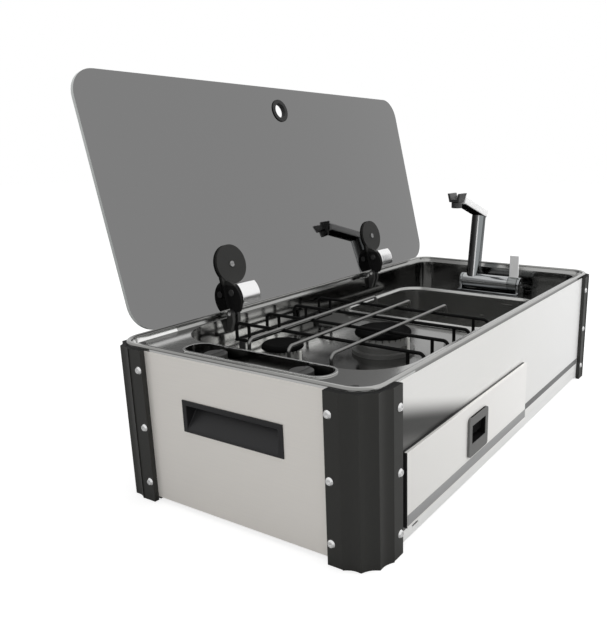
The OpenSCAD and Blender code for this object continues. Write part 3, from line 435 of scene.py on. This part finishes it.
def tray_paint(finish):
    """Satin steel with painted reflection: paler on the rim and darkest inside the recess,
    with a pale painted reflection patch behind the small burner, a painted highlight on
    the trough's bead and painted shade on the rim's hob-end face and rear corner."""
    cloud = finish.noise(9, 2)
    x, y, z = spot_of(finish)
    down = ramp(finish, z, *recess_z)
    bead = (z > bead_z) * (z < rim_z) * (x < -bead_reach)
    # Painted reflection: a pale patch on the recess floor behind the small burner.
    reflection_patch_across = ramp(finish, x, *reflection_patch_x[:2], 0.0, 1.0) * ramp(finish, x, *reflection_patch_x[2:])
    pale = ramp(finish, y, *reflection_patch_y, 0.0, 1.0) * reflection_patch_across
    inside = finish.mix(pale, (0.15, 0.15, 0.146), (0.75, 0.75, 0.73))
    # Painted reflection: the recess floor is darkest, mirroring the dark lid.
    deck_reflection = finish.mix(down, (0.36, 0.36, 0.352), inside)
    # Painted shade: the rim's hob-end face and its rear corner are darker.
    hob_end_shade = turned_to(finish, -1, 0, 0) > 0.5
    rear_corner_shade = ramp(finish, y, *rear_shade_y, 0.0, 1.0) * ramp(finish, x, *rear_shade_x)
    rim = finish.mix(hob_end_shade, (0.42, 0.42, 0.41), (0.27, 0.27, 0.262))
    rim = finish.mix(rear_corner_shade, rim, (0.22, 0.22, 0.215))
    # Painted highlight: the trough's bead is painted nearly white.
    with_painted_light = finish.mix(bead, deck_reflection, (0.85, 0.85, 0.84))
    return {
        "Base_Color": finish.mix(z > rim_z, with_painted_light, rim),
        "Metallic": 1.0,
        "Roughness": 0.12 + 0.05 * cloud,
    }


tray_steel = surface("tray_steel", tray_paint)
rounded("top_tray", 0.0012, tray_steel, 2, 35)
bowl_steel = surface("bowl_steel", brushed((0.46, 0.46, 0.45), 1.0, 0.2, (1, 0.02, 1)))
rounded("sink_bowl", 0.003, bowl_steel, 4, 35)
rounded("waste_strainer", 0.0006, bright_steel, 2, 35)
black_pipe = surface("black_pipe", satin((0.03, 0.03, 0.03), 0.4))
dress(black_pipe, "waste_elbow")

# Burners
# Cast bodies and slotted crowns in grey aluminium, under black enamelled caps.
enamel = surface("black_enamel", satin((0.006, 0.006, 0.006), 0.5, 220, 0.15, Specular_IOR_Level=0.06))
cap_black = surface("cap_black", satin((0.0035, 0.0035, 0.0035), 0.6, 220, 0.1, Specular_IOR_Level=0.02))
cast_grey = surface("cast_grey", satin((0.2, 0.2, 0.195), 0.42, 900, 0.3, 0.1, Metallic=0.8))
crown_grey = surface("crown_grey", satin((0.36, 0.36, 0.35), 0.4, 900, 0.2, 0.1, Metallic=0.7))
ceramic = surface("white_ceramic", satin((0.8, 0.8, 0.76), 0.25))
for size in ("small", "large"):
    rounded("burner_cap_" + size, 0.0016, cap_black, 3, 20)
    rounded("burner_body_" + size, 0.0008, cast_grey, 2, 35)
    dress(crown_grey, "burner_crown_" + size)
dress(ceramic, "igniters")

# Pan support
# Black enamelled cross wires welded to low rails, and three bright rods on top.
rubber = surface("black_rubber", satin((0.02, 0.02, 0.02), 0.7, 500, 0.2))
dress(enamel, "pan_support_wires")
rod_steel = surface("rod_steel", satin((0.22, 0.22, 0.215), 0.3, 300, 0.03, 0.05, Metallic=1.0))
dress(rod_steel, "pan_support_rods")
dress(rubber, "pan_support_feet", "lid_buffers")

# Controls and gas
# Two knobs lie in the trough at the hob end, on brass valves over a copper rail.
brass = surface("brass", satin((0.62, 0.42, 0.16), 0.3, 300, 0.1, Metallic=1.0))
copper = surface("copper", satin((0.62, 0.3, 0.18), 0.28, 300, 0.05, Metallic=1.0))
knob_grey = surface("knob_grey", satin((0.035, 0.035, 0.034), 0.3, 500, 0.08, Specular_IOR_Level=0.4))
for place in ("front", "rear"):
    rounded("control_knob_" + place, 0.0012, knob_grey, 3, 30)
    dress(brass, "gas_valve_" + place)
dress(copper, "gas_rail")

# Lid
# Grey glass with a mirror-like coat and a paler ground edge. A rubber ring
# lines the hole, and discs clamp the hinges to both faces.
lid_tilt = math.radians(13)
lid_normal = (0, -math.cos(lid_tilt), math.sin(lid_tilt))


def mirror_glass(finish):
    """A mirror on both faces, and pale matt glass on the ground edge."""
    across = turned_to(finish, *lid_normal)
    edge = finish.node("ShaderNodeMath", {"operation": "ABSOLUTE"}, across) < face_turn
    cloud = finish.noise(3, 2)
    return {
        "Base_Color": finish.mix(edge, (0.205, 0.205, 0.205), (0.5, 0.52, 0.51)),
        "Metallic": 1.0 - 0.8 * edge,
        "Roughness": 0.025 + 0.015 * cloud + 0.2 * edge,
    }


lid_glass = surface("mirror_glass", mirror_glass)
dress(lid_glass, "glass_lid")
rounded("lid_grommet", 0.0009, rubber, 3, 35)
disc_foot = (0.258, 0.26)


def hinge_arm_paint(finish):
    """Black moulding: satin on the disc, with painted shade making the cheek under it near black."""
    disc = ramp(finish, spot_of(finish)[2], *disc_foot, 0.0, 1.0)
    fleck = finish.noise(500, 4)
    return {
        # Painted shade: the cheek below the disc is painted darker than the disc.
        "Base_Color": finish.mix(disc, (0.005, 0.005, 0.005), (0.024, 0.024, 0.023)),
        "Roughness": 0.5 + 0.06 * fleck + 0.1 * (1.0 - disc),
        "Specular_IOR_Level": 0.2,
        "Normal": grain(finish, 0.12, fleck),
    }


arm_black = surface("arm_black", hinge_arm_paint)
hinge_black = surface("hinge_black", satin((0.024, 0.024, 0.023), 0.5, 500, 0.12, Specular_IOR_Level=0.3))
head_x = {"left": -0.2226, "right": 0.1784}


def cover_paint(limit):
    """Bright chrome, with the spindle's head black on the far side of the cheek."""

    def paint(finish):
        spindle = spot_of(finish)[0] < limit
        return {
            "Base_Color": finish.mix(spindle, (0.88, 0.88, 0.88), (0.02, 0.02, 0.02)),
            "Metallic": 1.0 - spindle,
            "Roughness": 0.2 + 0.04 * finish.noise(300),
        }

    return paint


cover_steel = {side: surface("cover_steel_" + side, cover_paint(x)) for side, x in head_x.items()}
for side in ("left", "right"):
    rounded("hinge_arm_" + side, 0.0008, arm_black, 2, 35)
    rounded("hinge_cover_" + side, 0.0008, cover_steel[side], 3, 35)
dress(hinge_black, "hinge_backing_discs")
dark_zinc = surface("dark_zinc", satin((0.09, 0.09, 0.088), 0.35, 300, 0.05, 0.1, Metallic=0.8))
dress(dark_zinc, "hinge_bracket_left", "hinge_bracket_right")
dress(bright_steel, "hinge_pins")
dull_steel = surface("dull_steel", satin((0.3, 0.3, 0.3), 0.35, 300, 0.05, 0.06, Metallic=0.9))
rounded("hinge_disc_screws", 0.0003, dull_steel, 2, 35)

# Tap
# Chrome throughout, its tones painted reflection: the post and barrel are tinted dark
# for the dark recess they mirror, the arm and the lever are painted paler, and the head
# and its aerator are dark.
# Painted reflection: each chrome part gets its own tone for what it mirrors.
tap_reflection_tones = {
    "base": (0.0012, (0.3, 0.31, 0.315), 0.1),
    "barrel": (0.0012, (0.42, 0.43, 0.435), 0.1),
    "head": (0.0008, (0.09, 0.09, 0.09), 0.2),
}
for part, (width, colour, rough) in tap_reflection_tones.items():
    chrome = surface("chrome_" + part, satin(colour, rough, 200, 0.0, 0.02, Metallic=1.0))
    rounded("tap_" + part, width, chrome, 3, 35)


glint_way, glint_turn = (-0.988, -0.156, 0), (0.972, 0.99)
shade_way, shade_turn = (-0.866, 0.5, 0), (0.8, 0.87)


def post_paint(finish):
    """Tinted chrome as painted reflection, with painted shade on the hob side and a painted highlight line
    down the middle.
    """
    glint = ramp(finish, turned_to(finish, *glint_way), *glint_turn, 0.0, 1.0)
    shade = ramp(finish, turned_to(finish, *shade_way), *shade_turn, 0.0, 1.0)
    reflection_tint = finish.mix(shade, (0.24, 0.255, 0.26), (0.06, 0.06, 0.06))
    return {
        "Base_Color": finish.mix(glint, reflection_tint, (0.95, 0.95, 0.95)),
        "Metallic": 1.0 - 0.6 * glint,
        "Roughness": 0.07 + 0.02 * finish.noise(200),
    }


arm_down = (-0.309, 0, -0.951)
arm_shaded = (0.4, 0.7)


def arm_paint(finish):
    """Chrome painted white as a painted reflection, with painted shade on its underside."""
    under = ramp(finish, turned_to(finish, *arm_down), *arm_shaded, 0.0, 1.0, False)
    return {
        # Painted shade: faces turned downward are painted near black.
        "Base_Color": finish.mix(under, (0.99, 0.99, 0.99), (0.01, 0.01, 0.01)),
        "Metallic": 0.15 - 0.15 * under,
        "Specular_IOR_Level": 0.0,
        "Roughness": 0.12 + 0.02 * finish.noise(200),
    }


blade_z = 0.199


def lever_paint(finish):
    """A blade painted pale as a painted reflection, on a chrome ring."""
    blade = spot_of(finish)[2] > blade_z
    return {
        "Base_Color": finish.mix(blade, (0.25, 0.26, 0.26), (0.97, 0.97, 0.97)),
        "Metallic": 1.0 - blade,
        "Roughness": 0.15 + 0.2 * blade + 0.02 * finish.noise(200),
    }


rounded("tap_post", 0.0015, surface("chrome_post", post_paint), 3, 35)
rounded("tap_arm", 0.0022, surface("chrome_arm", arm_paint), 3, 35)
rounded("tap_lever", 0.0006, surface("chrome_lever", lever_paint), 3, 35)
aerator_grey = surface("aerator_grey", satin((0.05, 0.05, 0.05), 0.35))
rounded("tap_aerator", 0.0012, aerator_grey, 3, 35)
dress(brass, "tap_shank")
hose_blue = surface("blue_hose", satin((0.03, 0.08, 0.25), 0.35))
dress(hose_blue, "water_pipe")

# Drawer
# A pale satin front with painted shadow on its top return, a grey trim strip along
# its foot and a latch with a finger hole. The strip carries on over the panel.
low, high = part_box("drawer_front")


top_skin, top_lip, end_skin = 0.001, 0.004, 0.0005


def front_paint(finish):
    """Satin paint, with painted light making it paler towards the tap end, and painted shade darkening the
    top return's rear and the hob end's edge.
    """
    x, y, z = spot_of(finish)
    # Painted shade: the rear of the top return and the hob end's edge are painted near black.
    top = (z > high.z - top_skin) * (y > low.y + top_lip)
    end = x < low.x + end_skin
    # Painted light: the front grows paler towards the tap end.
    along = ramp(finish, x, low.x, high.x, 0.0, 1.0, False)
    face = finish.mix(along, (0.82, 0.81, 0.785), (0.96, 0.95, 0.93))
    dark = finish.node("ShaderNodeMath", {"operation": "MAXIMUM"}, top, end)
    streak = finish.noise(900, 3, (0.02, 1, 1))
    return {
        "Base_Color": finish.mix(dark, face, (0.03, 0.03, 0.03)),
        "Metallic": 0.25,
        "Roughness": 0.34 + 0.1 * streak,
        "Normal": grain(finish, 0.05, streak),
    }


rounded("drawer_front", 0.0009, surface("drawer_paint", front_paint), 3, 35)
latch_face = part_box("latch_plate")[0].y
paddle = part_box("latch_paddle")
cup_side, cup_lip = 0.0015, 0.0008


def latch_paint(finish):
    """Grey plastic, with painted shade making the inside of the cup black."""
    x, y, z = spot_of(finish)
    across = (x > paddle[0].x - cup_side) * (x < paddle[1].x + cup_side)
    # Painted shade: the faces inside the cup are painted black.
    cup = (y > latch_face + cup_lip) * across
    return {
        "Base_Color": finish.mix(cup, (0.14, 0.14, 0.137), (0.003, 0.003, 0.003)),
        "Roughness": 0.4 + 0.5 * cup,
        "Specular_IOR_Level": 0.2,
    }


dress(surface("latch_grey", latch_paint), "latch_plate")
paddle_black = surface("paddle_black", satin((0.004, 0.004, 0.004), 0.7, Specular_IOR_Level=0.05))
rounded("latch_paddle", 0.0005, paddle_black, 2, 35)
dress(bright_steel, "drawer_slides")


strip_top = 0.045
strip_thick = 0.0006


def strip(name, x0, x1, z0, y, body, material):
    """A thin trim strip on a front face, with a broken edge."""
    shape = bmesh.new()
    size = Matrix.Diagonal((x1 - x0, strip_thick, strip_top - z0, 1))
    middle = Matrix.Translation(((x0 + x1) / 2, y - strip_thick / 2, (z0 + strip_top) / 2))
    bmesh.ops.create_cube(shape, size=1, matrix=middle @ size)
    edges = list(shape.edges)
    broken = strip_thick * 0.4
    bmesh.ops.bevel(
        shape, geom=edges, offset=broken, segments=2, profile=0.5, affect="EDGES", material=-1
    )
    add_piece(name, shape, body, material)


strip_low = 0.0312
panel_strip_low = 0.0345
panel_face = -0.2
drawer_strip_x = (low.x + 0.001, high.x - 0.001)
panel_strip_x = (high.x + 0.004, 0.356)
strip_grey = surface("strip_grey", satin((0.3, 0.3, 0.3), 0.4, 600, 0.08))
strip_dark = surface("strip_dark", satin((0.16, 0.16, 0.16), 0.4, 600, 0.08))
strip("drawer_strip", *drawer_strip_x, strip_low, low.y, "drawer", strip_grey)
strip("panel_strip", *panel_strip_x, panel_strip_low, panel_face, "casing", strip_dark)
